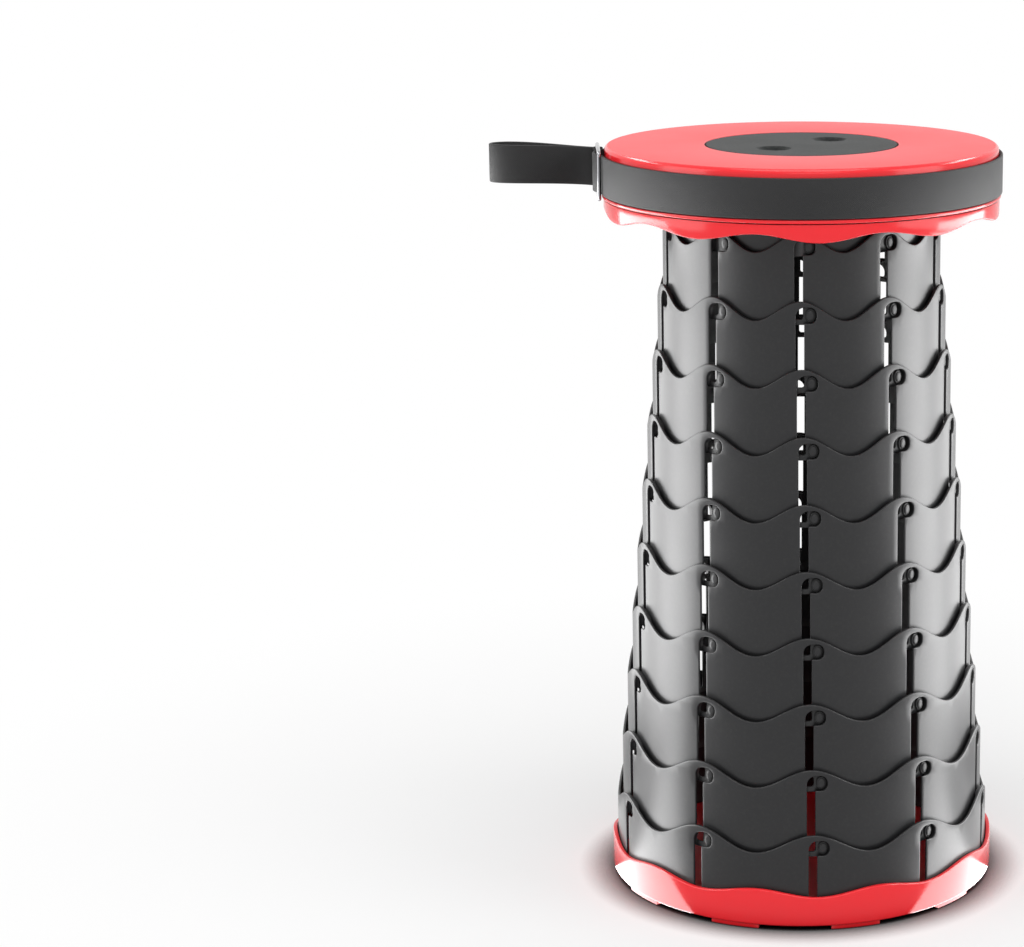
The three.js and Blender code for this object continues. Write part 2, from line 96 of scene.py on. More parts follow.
class StoolRingSizes(bpy.types.PropertyGroup):
    """Sizes of the telescoping rings"""

    waves: bpy.props.IntProperty(name="Waves", description="Waves, pins and hooks round a ring", default=10)
    first_radius: millimetres("First radius", "Outside of the top ring", 86.85)
    step: millimetres("Step", "From one ring's outside to the next one's", 3.67)
    pitch: millimetres("Pitch", "From one row of pins down to the next", 40.9)
    first_row: millimetres("First row", "First row of pins, below the seat's top face", 51.4)
    first_angle: degrees("First pin", "Angle of the first row's first pin", 3.08)
    row_turn: degrees("Row turn", "How far each row is turned from the row above", 0.378)
    slide_gap: millimetres("Slide gap", "Between a ring and the guide band round it", 0.3)
    lower_wall: millimetres("Lower wall", "Wall under the hooks", 1.1)
    crest: millimetres("Crest", "Crest of the edge above the pins' middle", 8.8)
    drop: millimetres("Drop", "From a crest down to a valley", 12.3)
    crest_shift: millimetres("Crest shift", "Crest's middle to the left of its pin", 6.1)
    lip_wall: millimetres("Lip wall", "Thickness of the lip along the wavy edge", 1.5)
    lip_low: millimetres("Lip at a hook", "How far the lip stands over the pads at a hook", 1.4)
    lip_high: millimetres("Lip on a flank", "How far it stands over them on the flanks", 3.4)
    pad_thin: millimetres("Pad", "Depth of the guide pads in a valley", 1.8)
    foot: millimetres("Foot", "Lower edge below the pins' middle", 6)
    strip: millimetres("Strip", "Closed strip under each slot", 3.4)
    slot_width: millimetres("Slot width", "Width of each slot", 5.2)
    slot_shift: millimetres("Slot shift", "Slot's middle to the left of its pin", 6.5)
    hook_top: millimetres("Hook top", "Top of the hook above the pin's middle", 5.2)
    hook_round: millimetres("Hook round", "Radius of the hook's bend", 5.6)
    pocket_right: millimetres("Pocket", "Pocket's end to the right of the pin's middle", 3.7)
    pocket_floor: millimetres("Pocket floor", "Pocket's floor below the pin's middle", 4.4)
    edge_round: millimetres("Edge round", "Rounding of the outer edges", 0.55)
    pin_width: millimetres("Pin width", "Half the width of a pin", 2.9)
    pin_height: millimetres("Pin height", "Half the height of a pin", 4.1)
    pin_reach: millimetres("Pin reach", "How far a pin stands out", 1.9)


class StoolSeatSizes(bpy.types.PropertyGroup):
    """Sizes of the seat, its skirt and its disc"""

    radius: millimetres("Radius", "Outside of the seat's side", 122.4)
    rim_round: millimetres("Rim round", "Rounding of the rim", 2.8)
    panel: millimetres("Panel", "Thickness of the top panel", 2.5)
    wall: millimetres("Wall", "Thickness of the seat's side", 2)
    flange_reach: millimetres("Flange", "Flange under the strap", 1.8)
    lap_wall: millimetres("Lap", "Wall of the skirt's tongue", 0.8)
    seam: millimetres("Seam", "Gap between the seat and its skirt", 0.3)
    skirt_radius: millimetres("Skirt radius", "Outside of the skirt", 123.2)
    skirt_wave: millimetres("Skirt wave", "Height of the skirt's waves", 4.9)
    wave_angle: degrees("Wave angle", "Where the skirt's edge is lowest", 5.1)
    disc_radius: millimetres("Disc radius", "Radius of the centre disc", 59.6)
    disc_gap: millimetres("Disc gap", "Gap round the disc", 0.6)
    grip_radius: millimetres("Grip radius", "Radius of a dished finger grip", 11)
    grip_depth: millimetres("Grip depth", "Depth of a grip", 2.6)
    grip_out: millimetres("Grip place", "From the seat's middle to a grip's", 28.6)
    grip_angle: degrees("Grip angle", "Direction of the first grip", 53)


class StoolBaseSizes(bpy.types.PropertyGroup):
    """Sizes of the base"""

    radius: millimetres("Radius", "Outside of the base", 123.2)
    wall: millimetres("Wall", "Thickness of the side", 2.87)
    floor: millimetres("Floor", "Thickness of the floor", 2)
    wave: millimetres("Wave", "Height of the waves in its edge", 4.7)
    foot_height: millimetres("Foot height", "How far the feet stand down", 2.8)
    foot_length: millimetres("Foot length", "How far the feet run in", 18)
    foot_width: degrees("Foot width", "How far each foot runs round", 14.7)
    foot_angle: degrees("Foot angle", "Direction of the first foot", 16.1)
    rib_ring: millimetres("Rib ring", "Radius of the round rib underneath", 60)
    rib_width: millimetres("Rib width", "Width of the ribs", 2)
    rib_height: millimetres("Rib height", "Height of the ribs", 1.8)


class StoolStrapSizes(bpy.types.PropertyGroup):
    """Sizes of the strap, its slider and the handle"""

    thick: millimetres("Thickness", "Thickness of the webbing", 1.9)
    middle_radius: millimetres("Radius", "Middle of the webbing round the seat", 123.95)
    swell: millimetres("Swell", "How far it swells out over the slider's middle bar", 5.2)
    swell_length: millimetres("Swell length", "Length of the swelling", 44)
    wire: millimetres("Wire", "Thickness of the slider's wire", 2.6)
    slider_wide: millimetres("Slider width", "Width of the slider", 50.6)
    slider_tall: millimetres("Slider height", "Height of the slider", 31)
    slider_corner: millimetres("Corner", "Corner radius of the slider", 2.4)
    slider_out: millimetres("Slider place", "From the stool's axis to the slider", 126.5)
    slider_drop: millimetres("Slider drop", "Slider's top below the seat's top face", 1.8)
    slider_turn: degrees("Slider turn", "Turn of the slider about the upright", 5)
    handle_lean: degrees("Handle lean", "Turn of the handle towards the front", 7.7)
    handle_length: millimetres("Handle length", "From the far bar to the handle's tip", 67.8)
    handle_half: millimetres("Handle width", "Half the width of the loop from above", 10)
    handle_rise: millimetres("Handle rise", "How far the handle climbs", 3.4)
    neck: millimetres("Neck", "Length where the two layers are sewn", 3)


class StoolFinishes(bpy.types.PropertyGroup):
    """Colours of the stool"""

    red: screen_colour("Red", "Seat, skirt and base", 238, 30, 40)
    black: screen_colour("Black", "Rings", 22, 22, 24)
    grey: screen_colour("Grey", "Centre disc", 33, 36, 36)
    webbing: screen_colour("Webbing", "Strap round the seat", 21, 21, 22)
    handle: screen_colour("Handle", "Handle loop", 14, 14, 15)
    metal: screen_colour("Metal", "Slider", 140, 140, 143)
    steel: screen_colour("Steel", "Screws", 170, 170, 172)
    dust: screen_colour("Dust", "Light dust on the plastic", 190, 184, 178)
    floor: screen_colour("Floor", "Studio floor", 240, 240, 240)


# Outlines and meshes


def spread(start, end, count):
    """Evenly spaced values from start to end"""
    return [start + (end - start) * i / count for i in range(count + 1)]


def angles_round(count):
    """Evenly spaced angles, once round"""
    return [math.tau * i / count for i in range(count)]


def toward(angle):
    return Vector((math.cos(angle), math.sin(angle)))


def edge_arc(radius, steps):
    """How far in and how far down a rounded edge is, at each step round it"""
    return [(radius * (1 - math.sin(a)), radius * (1 - math.cos(a))) for a in spread(0, math.pi / 2, steps)]


def rounded(corners, steps, closed=True):
    """An outline with an arc at each (x, y, radius) corner"""
    points = []
    count = len(corners)
    for i, (x, y, radius) in enumerate(corners):
        here = Vector((x, y))
        ends = not closed and i in (0, count - 1)
        if ends or radius == 0:
            points.append(here)
            continue
        before = (Vector(corners[i - 1][:2]) - here).normalized()
        after = (Vector(corners[(i + 1) % count][:2]) - here).normalized()
        half = before.angle(after) / 2
        centre = here + (before + after).normalized() * radius / math.sin(half)
        start = here + before * radius / math.tan(half) - centre
        end = here + after * radius / math.tan(half) - centre
        first = math.atan2(start.y, start.x)
        sweep = math.remainder(math.atan2(end.y, end.x) - first, math.tau)
        points += [centre + radius * toward(turn) for turn in spread(first, first + sweep, steps)]
    return points


def rounded_box(wide, tall, radius, steps):
    """A rounded box round the origin, from half its width and half its height"""
    corners = [(wide, -tall), (wide, tall), (-wide, tall), (-wide, -tall)]
    return rounded([(*corner, radius) for corner in corners], steps)


def shifted(points, distance, closed=True):
    """An outline moved to its right by a distance"""
    moved = []
    last = len(points) - 1
    for i, point in enumerate(points):
        before = points[i - 1] if closed or i > 0 else point
        after = points[(i + 1) % len(points)] if closed or i < last else point
        along = (after - before).normalized()
        moved.append(point + Vector((along.y, -along.x)) * distance)
    return moved


def inside(point, outline):
    """Whether a point lies inside a closed outline"""
    hit = False
    for i, a in enumerate(outline):
        b = outline[i - 1]
        if (a.y > point.y) != (b.y > point.y):
            if point.x < (b.x - a.x) * (point.y - a.y) / (b.y - a.y) + a.x:
                hit = not hit
    return hit


def filled(outline, holes=(), extra=()):
    """Triangles over an outline with holes, through some extra points: (points, faces)"""
    points, edges = [], []
    for loop in (outline, *holes):
        start = len(points)
        points += loop
        edges += [(start + i, start + (i + 1) % len(loop)) for i in range(len(loop))]
    points += extra
    found, _, faces, *_ = delaunay_2d_cdt(points, edges, [], 0, 1e-9)
    kept = []
    for face in faces:
        middle = sum((found[i] for i in face), Vector((0, 0))) / len(face)
        if inside(middle, outline) and not any(inside(middle, hole) for hole in holes):
            kept.append(face)
    return found, kept


class Shape:
    """A mesh that is being put together from points and faces"""

    def __init__(self):
        self.points = []
        self.faces = []

    def add(self, points, faces):
        start = len(self.points)
        self.points += [Vector(p) for p in points]
        self.faces += [tuple(start + i for i in face) for face in faces]

    def strip(self, rows, closed_row=True, closed_rows=False):
        """Quads between rows that hold the same number of points. It returns the first point's number."""
        width = len(rows[0])
        start = len(self.points)
        self.points += [Vector(p) for row in rows for p in row]
        last_row = len(rows) if closed_rows else len(rows) - 1
        last = width if closed_row else width - 1
        for r in range(last_row):
            for c in range(last):
                a, b = start + r * width, start + (r + 1) % len(rows) * width
                self.faces.append((a + c, a + (c + 1) % width, b + (c + 1) % width, b + c))
        return start

    def tube(self, rows):
        """A strip between closed rows, with a face over each end"""
        width = len(rows[0])
        start = self.strip(rows)
        last = start + (len(rows) - 1) * width
        self.faces.append(tuple(range(last, last + width)))
        self.faces.append(tuple(range(start + width - 1, start - 1, -1)))

    def add_round(self, detail, count):
        """Adds another shape, so many times round the stool's axis"""
        for angle in angles_round(count):
            turn = Matrix.Rotation(angle, 3, "Z")
            self.add([turn @ p for p in detail.points], detail.faces)


def add_object(name, data):
    made = bpy.data.objects.new(name, data)
    bpy.context.scene.collection.objects.link(made)
    return made


def place_mesh(mesh, material, body, replaced, sharp):
    """Sets a mesh in the scene as the piece that stands for a node, riding on a body"""
    mesh.shade_smooth()
    mesh.set_sharp_from_angle(angle=math.radians(sharp))
    mesh.materials.append(material)
    piece = add_object(mesh.name, mesh)
    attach(piece, body)
    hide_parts(replaced)


def make_piece(name, shape, material, body, replaced, sharp=35):
    """A piece from a shape, with its doubled points welded. Edges over the sharp angle stay crisp."""
    mesh = bpy.data.meshes.new(name)
    mesh.from_pydata(shape.points, [], shape.faces)
    work = bmesh.new()
    work.from_mesh(mesh)
    bmesh.ops.remove_doubles(work, verts=work.verts, dist=1e-6)
    bmesh.ops.dissolve_degenerate(work, edges=work.edges, dist=1e-7)
    bmesh.ops.recalc_face_normals(work, faces=work.faces)
    work.to_mesh(mesh)
    work.free()
    place_mesh(mesh, material, body, replaced, sharp)


def round_axis(radius, angle, height):
    """A point at an angle round the stool: 0 is the front, and angles grow towards +X"""
    return Vector((radius * math.sin(angle), -radius * math.cos(angle), height))


def turned(shape, profile, steps, lift=None, closed=True):
    """Adds a revolved (radius, height) profile. lift moves a height by the angle that it is at."""
    rows = []
    for angle in angles_round(steps):
        heights = [z if lift is None else lift(angle, z) for _, z in profile]
        rows.append([round_axis(r, angle, z) for (r, _), z in zip(profile, heights)])
    shape.strip(rows, closed_row=closed, closed_rows=True)


def screw_spots():
    """Where the seat's screws stand, from above"""
    boxes = [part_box(f"seat_screw_{number}") for number in range(1, SCREW_COUNT + 1)]
    return [((low + high) / 2).xy for low, high in boxes]


# Materials


def new_group(name, inputs, outputs):
    """A shader node group: (group, what it is given, what it gives out), the last two by socket name"""
    group = bpy.data.node_groups.new(name, "ShaderNodeTree")
    for socket, value in inputs.items():
        kind = "NodeSocketColor" if isinstance(value, tuple) else "NodeSocketFloat"
        group.interface.new_socket(name=socket, in_out="INPUT", socket_type=kind).default_value = value
    for socket in outputs:
        kind = "NodeSocketColor" if socket == "Color" else "NodeSocketFloat"
        group.interface.new_socket(name=socket, in_out="OUTPUT", socket_type=kind)
    return group, group.nodes.new("NodeGroupInput").outputs, group.nodes.new("NodeGroupOutput").inputs


def add_node(tree, kind, settings=None, **inputs):
    """A node with its settings and inputs, each a value or another node's output. i0 is its first input."""
    node = tree.nodes.new(kind)
    for key, value in (settings or {}).items():
        setattr(node, key, value)
    for key, value in inputs.items():
        socket = node.inputs[int(key[1:])] if key[0] == "i" and key[1:].isdigit() else node.inputs[key]
        if isinstance(value, bpy.types.NodeSocket):
            tree.links.new(value, socket)
        else:
            socket.default_value = value
    return node


def calculate(tree, operation, *values):
    """A Math node's result"""
    inputs = {f"i{i}": value for i, value in enumerate(values)}
    return add_node(tree, "ShaderNodeMath", {"operation": operation}, **inputs).outputs[0]


def blend_colours(tree, factor, first, second):
    """A colour mixed from two"""
    node = add_node(tree, "ShaderNodeMix", {"data_type": "RGBA"}, i0=factor, i6=first, i7=second)
    return node.outputs[2]


def centred(tree, value, share, middle):
    """A value from 0 to 1 as a change up and down by a share of it, round a middle"""
    return calculate(tree, "MULTIPLY_ADD", calculate(tree, "SUBTRACT", value, 0.5), share, middle)


def noise(tree, scale, detail, **more):
    """Noise that stays with the object"""
    place = add_node(tree, "ShaderNodeTexCoord").outputs["Object"]
    return add_node(tree, "ShaderNodeTexNoise", Vector=place, Scale=scale, Detail=detail, **more).outputs[0]


def ramp(tree, value, low, high, kind="LINEAR", **more):
    """A value's way from low to high, as 0 to 1"""
    ends = {"From Min": low, "From Max": high, **more}
    return add_node(tree, "ShaderNodeMapRange", {"interpolation_type": kind}, Value=value, **ends).outputs[0]


def moulded_group():
    """Fine grain, flow marks and uneven gloss of moulded plastic"""
    inputs = {"Grain": 2500.0, "Roughness": 0.4, "Spread": 0.1, "Top": 0.0}
    group, given, out = new_group("Moulded surface", inputs, ["Roughness", "Height"])
    grain = noise(group, scale=given["Grain"], detail=2.0)
    flow = noise(group, scale=28.0, detail=5.0, Roughness=0.6)
    rough = centred(group, flow, share=given["Spread"], middle=given["Roughness"])
    rough = centred(group, grain, share=0.06, middle=rough)
    normal = add_node(group, "ShaderNodeNewGeometry").outputs["Normal"]
    up = add_node(group, "ShaderNodeSeparateXYZ", Vector=normal).outputs["Z"]
    level = ramp(group, up, low=0.9, high=0.99, kind="SMOOTHSTEP")
    slow = noise(group, scale=60.0, detail=1.0)
    group.links.new(calculate(group, "MULTIPLY_ADD", level, given["Top"], rough), out["Roughness"])
    group.links.new(calculate(group, "MULTIPLY_ADD", slow, 3.0, grain), out["Height"])
    return group


def wear_group():
    """Paler, rubbed plastic along outer edges, and a little dust that settles on what faces up"""
    inputs = {"Color": (0.5, 0.5, 0.5, 1), "Rubbed": (0.8, 0.8, 0.8, 1), "Dust color": (0.5, 0.48, 0.45, 1)}
    inputs |= {"Rub": 0.4, "Dust": 0.08}
    group, given, out = new_group("Rubbed and dusty", inputs, ["Color", "Dull"])
    solid = add_node(group, "ShaderNodeNewGeometry").outputs
    edge = ramp(group, solid["Pointiness"], low=0.53, high=0.62)
    broken = calculate(group, "MULTIPLY", edge, noise(group, scale=90.0, detail=4.0))
    rubbed = calculate(group, "MULTIPLY", broken, given["Rub"])
    colour = blend_colours(group, rubbed, given["Color"], given["Rubbed"])
    up = add_node(group, "ShaderNodeSeparateXYZ", Vector=solid["Normal"]).outputs["Z"]
    specks = ramp(group, noise(group, scale=420.0, detail=6.0, Roughness=0.7), low=0.48, high=0.75)
    settled = calculate(group, "MULTIPLY", calculate(group, "MAXIMUM", up, 0.12), specks)
    dust = calculate(group, "MULTIPLY", settled, given["Dust"])
    group.links.new(blend_colours(group, dust, colour, given["Dust color"]), out["Color"])
    group.links.new(dust, out["Dull"])
    return group


def recess_group():
    """How open a spot is, for painting shade: 1 on an open face, falling towards 0 deep in a gap or a recess
    """
    group, given, out = new_group("Recess shade", {"Reach": 0.005, "Power": 1.5}, ["Open"])
    near = add_node(group, "ShaderNodeAmbientOcclusion", {"samples": 8}, Distance=given["Reach"])
    group.links.new(calculate(group, "POWER", near.outputs["AO"], given["Power"]), out["Open"])
    return group


def weave_group():
    """Woven webbing: ribs across the strap and threads along it, from the strap's own UV map"""
    inputs = {"Color": (0.1, 0.1, 0.1, 1), "Thread": (0.3, 0.3, 0.3, 1), "Rib": 0.0011}
    group, given, out = new_group("Woven webbing", inputs, ["Color", "Roughness", "Height"])
    flat = add_node(group, "ShaderNodeUVMap", {"uv_map": "Webbing"}).outputs[0]
    parts = add_node(group, "ShaderNodeSeparateXYZ", Vector=flat).outputs
    slant = calculate(group, "ADD", parts["X"], calculate(group, "MULTIPLY", parts["Y"], 0.55))
    waves = []
    for way in (slant, calculate(group, "MULTIPLY", parts["Y"], 1.5)):
        turns = calculate(group, "DIVIDE", way, given["Rib"])
        waves.append(calculate(group, "SINE", calculate(group, "MULTIPLY", turns, math.tau)))
    weave = calculate(group, "MULTIPLY_ADD", calculate(group, "MULTIPLY", *waves), 0.5, 0.5)
    fuzz = noise(group, scale=1800.0, detail=3.0)
    mixed = centred(group, noise(group, scale=35.0, detail=4.0), share=0.5, middle=weave)
    mixed = centred(group, fuzz, share=0.6, middle=mixed)
    factor = add_node(group, "ShaderNodeClamp", Value=calculate(group, "MULTIPLY", mixed, 0.55)).outputs[0]
    group.links.new(blend_colours(group, factor, given["Color"], given["Thread"]), out["Color"])
    group.links.new(calculate(group, "MULTIPLY_ADD", fuzz, 0.25, 0.52), out["Roughness"])
    group.links.new(calculate(group, "MULTIPLY_ADD", fuzz, 0.4, weave), out["Height"])
    return group


GROUPS = {
    "Moulded surface": moulded_group,
    "Rubbed and dusty": wear_group,
    "Recess shade": recess_group,
    "Woven webbing": weave_group,
}


def use_group(tree, name, **inputs):
    """The outputs of a node group that is built once and shared by the materials"""
    group = bpy.data.node_groups.get(name) or GROUPS[name]()
    return add_node(tree, "ShaderNodeGroup", {"node_tree": group}, **inputs).outputs


def new_material(name, preview):
    """An empty Principled material: (material, tree, shader)"""
    material = bpy.data.materials.new(name)
    material.use_nodes = True
    material.diffuse_color = (*preview, 1)
    tree = material.node_tree
    return material, tree, tree.nodes["Principled BSDF"]


def finish_colour(name):
    return tuple(getattr(bpy.context.scene.stool_finishes, name))


def shade_recesses(tree, shader, colour, roughness, duller, reach, power):
    """Leads a colour and a roughness to the shader: painted shade darkens the colour deep in gaps, and the
    surface is duller there
    """
    recess = use_group(tree, "Recess shade", Reach=reach, Power=power)[0]
    closed = calculate(tree, "SUBTRACT", 1.0, recess)
    tree.links.new(blend_colours(tree, recess, BLACK, colour), shader.inputs["Base Color"])
    tree.links.new(calculate(tree, "MULTIPLY_ADD", closed, duller, roughness), shader.inputs["Roughness"])


def add_bump(tree, shader, height, depth, strength=1.0):
    """Leads a height to the shader's normal"""
    bump = add_node(tree, "ShaderNodeBump", Strength=strength, Distance=depth, Height=height)
    tree.links.new(bump.outputs[0], shader.inputs["Normal"])


def plastic(
    name, colour, rubbed, roughness, grain, depth, rub, dust, reach, uneven, specular, top=0.0, power=1.5
):
    """Moulded plastic with rubbed edges, painted shade darkening its gaps and recesses, and a little dust"""
    if name in bpy.data.materials:
        return bpy.data.materials[name]
    material, tree, shader = new_material(name, colour)
    surface = use_group(tree, "Moulded surface", Grain=grain, Roughness=roughness, Spread=uneven, Top=top)
    worn = use_group(
        tree, "Rubbed and dusty", Color=(*colour, 1), Rubbed=(*rubbed, 1), Rub=rub, Dust=dust,
        **{"Dust color": (*finish_colour("dust"), 1)},
    )
    dull = calculate(tree, "MULTIPLY_ADD", worn["Dull"], 0.6, surface["Roughness"])
    # Painted shade: the colour is darkened deep in gaps and recesses.
    shade_recesses(tree, shader, worn["Color"], dull, duller=0.4, reach=reach, power=power)
    add_bump(tree, shader, surface["Height"], depth)
    shader.inputs["Specular IOR Level"].default_value = specular
    return material


def red_plastic():
    return plastic(
        "Red moulded plastic", finish_colour("red"), srgb(255, 120, 120),
        roughness=0.16, grain=1500.0, depth=2e-6, rub=0.35, dust=0.03, reach=mm(1), uneven=0.05,
        specular=0.42, top=0.2,
    )


def black_plastic():
    return plastic(
        "Black moulded plastic", finish_colour("black"), srgb(120, 120, 122),
        roughness=0.33, grain=2400.0, depth=5e-6, rub=0.5, dust=0.1, reach=mm(3), uneven=0.1, specular=0.43,
    )


def grey_plastic():
    # Long reach and high power: painted shade darkens the disc's finger grips.
    return plastic(
        "Grey textured plastic", finish_colour("grey"), srgb(110, 114, 114),
        roughness=0.5, grain=1800.0, depth=2e-5, rub=0.4, dust=0.1, reach=mm(8), uneven=0.1,
        specular=0.13, power=4.0,
    )


def webbing(name, colour, contrast):
    """Woven webbing, with threads paler than its colour by a contrast"""
    material, tree, shader = new_material(name, colour)
    thread = (*(min(1, c * contrast) for c in colour), 1)
    woven = use_group(tree, "Woven webbing", Color=(*colour, 1), Thread=thread, Rib=mm(1.1))
    # Painted shade darkens the webbing where it lies close to other parts.
    shade_recesses(tree, shader, woven["Color"], woven["Roughness"], duller=0.3, reach=mm(6), power=2.0)
    add_bump(tree, shader, woven["Height"], depth=mm(0.12), strength=0.8)
    shader.inputs["Specular IOR Level"].default_value = 0.4
    shader.inputs["Sheen Weight"].default_value = 0.05
    shader.inputs["Sheen Roughness"].default_value = 0.4
    return material


def metal(name, colour, roughness, uneven):
    """Bare or plated metal with fine scratches"""
    material, tree, shader = new_material(name, colour)
    surface = use_group(tree, "Moulded surface", Grain=3000.0, Roughness=roughness, Spread=uneven)
    shader.inputs["Base Color"].default_value = (*colour, 1)
    shader.inputs["Metallic"].default_value = 1.0
    tree.links.new(surface["Roughness"], shader.inputs["Roughness"])
    add_bump(tree, shader, surface["Height"], depth=2e-6)
    return material


# The rings


def ring_radius(sizes, number):
    return sizes.first_radius + (number - 1) * sizes.step


def row_height(sizes, row):
    return -sizes.first_row - row * sizes.pitch


def row_angle(sizes, row):
    return sizes.first_angle + row * sizes.row_turn


def add_pins(shape, sizes, radius, row, sides=28):
    """Adds stepped oval pins on a wall. Their profile gives shares of a pin's size and of its reach."""
    profile = [(1, -0.4), (1, 0.5), (0.95, 0.62), (0.76, 0.66), (0.72, 0.9), (0.62, 0.98), (0.3, 1.0)]
    pin = Shape()
    rows = []
    for share, out in profile:
        ring = []
        for turn in angles_round(sides):
            angle = row_angle(sizes, row) + share * sizes.pin_width * math.cos(turn) / radius
            height = row_height(sizes, row) + share * sizes.pin_height * math.sin(turn)
            ring.append(round_axis(radius + out * sizes.pin_reach, angle, height))
        rows.append(ring)
    pin.tube(rows)
    shape.add_round(pin, sizes.waves)


def hook_outline(sizes):
    """The hook in a ring's wall, round from its left edge: the slot, then the pocket, as two paths"""
    arc_steps = 7
    slot_foot, slot_corner = mm(1.6), mm(0.9)
    left = -sizes.slot_shift - sizes.slot_width / 2
    right = left + sizes.slot_width
    low = sizes.strip - sizes.foot - sizes.pitch
    shelf = -sizes.pocket_floor
    half = (sizes.hook_top - shelf) / 2
    low_round, high_round = half * 0.8, half * 0.9
    slot = [
        (left, shelf, 0),
        (left, low, slot_foot),
        (right, low, slot_foot),
        (right, shelf, slot_corner),
        (sizes.pocket_right - low_round, shelf, 0),
    ]
    pocket = [
        (right, shelf, 0),
        (sizes.pocket_right, shelf, low_round),
        (sizes.pocket_right, sizes.hook_top, high_round),
        (left, sizes.hook_top, sizes.hook_round),
        (left, shelf, 0),
    ]
    return rounded(slot, arc_steps, closed=False)[:-1], rounded(pocket, arc_steps, closed=False)[1:-1]


def ring_wall(sizes, radius, row):
    """A ring's wall with its wavy edge and hooks: one wave of it, drawn flat and wrapped, then repeated"""
    width = math.tau * radius / sizes.waves
    middle = -sizes.crest_shift
    left_seam, right_seam = middle - width / 2, middle + width / 2
    foot = -sizes.pitch - sizes.foot
    shelf = -sizes.pocket_floor
    band = sizes.step - sizes.slide_gap
    columns, rounds, shelf_steps = 18, 3, 12
    hook_reach, flank = mm(7), mm(8)
    lowest_lip = shelf + mm(0.3)
    grid_margin, grid_foot, shelf_margin = mm(1.6), foot + mm(7), mm(3)
    hook_left = -sizes.slot_shift - sizes.slot_width / 2
    hook_middle = (hook_left + sizes.pocket_right) / 2

    def wrap(line, depth):
        """A flat line laid round the ring at a depth under its outside, which may change along the line"""
        deep = [depth(p.x) if callable(depth) else depth for p in line]
        turns = [row_angle(sizes, row) + p.x / radius for p in line]
        height = row_height(sizes, row)
        return [round_axis(radius - d, turn, height + p.y) for p, d, turn in zip(line, deep, turns)]

    def edge(x):
        fall = (1 - math.cos(math.tau * (x - middle) / width)) / 2
        return sizes.crest - sizes.drop * fall

    def away(x):
        """0 at the hook, rising smoothly to 1 on the flanks"""
        share = min(1, max(0, (abs(x - hook_middle) - hook_reach) / flank))
        return share * share * (3 - 2 * share)

    def groove(x):
        """The top of the guide pads, behind the lip"""
        lip = sizes.lip_low + (sizes.lip_high - sizes.lip_low) * away(x)
        return max(edge(x) - lip, lowest_lip)

    def pad(x):
        return band + (sizes.pad_thin - band) * away(x)

    top = [Vector((x, edge(x))) for x in spread(left_seam, right_seam, columns * 2)]
    bottom = [Vector((x, foot)) for x in spread(left_seam, right_seam, columns)]
    slot, pocket = hook_outline(sizes)
    hook = slot + pocket
    corner = slot[0]
    floor_end = pocket[0]
    shelf_left = [Vector((x, shelf)) for x in spread(left_seam, corner.x, shelf_steps)]
    shelf_right = [Vector((x, shelf)) for x in spread(floor_end.x, right_seam, shelf_steps)]
    pads_top = [Vector((p.x, groove(p.x))) for p in top]

    shape = Shape()
    insets = edge_arc(sizes.edge_round, rounds)
    top_rows = [(shifted(top, inset, closed=False), depth) for inset, depth in insets]
    foot_rows = [([p + Vector((0, inset)) for p in bottom], depth) for inset, depth in insets]
    hook_rows = [(shifted(hook, inset), depth) for inset, depth in insets]
    for rows in (top_rows, foot_rows):
        for line, _ in rows:
            line[0].x, line[-1].x = left_seam, right_seam
    for rows, closed in ((top_rows, False), (foot_rows, False), (hook_rows, True)):
        shape.strip([wrap(line, depth) for line, depth in rows], closed_row=closed)

    def walls(line, start, end):
        shape.strip([wrap(line, start), wrap(line, end)], closed_row=False)

    def cover(outline, depth, holes=(), extra=()):
        points, faces = filled(outline, holes, extra)
        shape.add(wrap(points, depth), faces)

    def seam(x, low, high, count=6):
        return [Vector((x, y)) for y in spread(low, high, count)][1:-1]

    def grid(high, rows, blocked):
        points = []
        for x in spread(left_seam, right_seam, columns)[1:-1]:
            for y in spread(grid_foot, high, rows):
                here = Vector((x, y))
                if y > edge(x) - grid_margin or any((here - b).length < grid_margin for b in blocked):
                    continue
                if not inside(here, hook):
                    points.append(here)
        return points

    outer_top, outer_foot, outer_hook = top_rows[0][0], foot_rows[0][0], hook_rows[0][0]
    left_side = seam(left_seam, outer_foot[0].y, outer_top[0].y)
    right_side = seam(right_seam, outer_foot[-1].y, outer_top[-1].y)
    outline = outer_foot + right_side + outer_top[::-1] + left_side[::-1]
    cover(outline, 0, [outer_hook], grid(sizes.crest, rows=7, blocked=outer_hook))

    outline = [*bottom, *seam(right_seam, foot, shelf), *shelf_right[::-1]]
    outline += [*slot[::-1], *shelf_left[::-1][1:], *seam(left_seam, foot, shelf)[::-1]]
    cover(outline, sizes.lower_wall, (), grid(shelf - shelf_margin, rows=5, blocked=slot))
    cover([*shelf_left, *pocket[::-1], *shelf_right[1:], *pads_top[::-1]], pad)

    walls(top, sizes.edge_round, sizes.lip_wall)
    shape.strip([wrap(line, sizes.lip_wall) for line in (top, pads_top)], closed_row=False)
    walls(pads_top, sizes.lip_wall, pad)
    for line in (bottom, [*slot, floor_end], [*pocket, corner]):
        walls(line, sizes.edge_round, sizes.lower_wall)
    for line in ([*pocket, corner], shelf_left, shelf_right):
        walls(line, sizes.lower_wall, pad)
    ring = Shape()
    ring.add_round(shape, sizes.waves)
    return ring


class STOOL_OT_build_rings(bpy.types.Operator):
    """Build the ten rings, each with its hooks and the pins of the next one down"""

    bl_idname = "stool.build_rings"
    bl_label = "Build the rings"

    def execute(self, context):
        sizes = context.scene.stool_rings
        for number in range(1, RING_COUNT + 1):
            radius = ring_radius(sizes, number)
            shape = ring_wall(sizes, radius, number - 1)
            body = BASE_BODY if number == RING_COUNT else f"ring_{number}_body"
            if number < RING_COUNT:
                add_pins(shape, sizes, radius, number)
            name = f"ring_moulding_{number}"
            make_piece(name, shape, black_plastic(), body, f"ring_{number}")
        return {"FINISHED"}


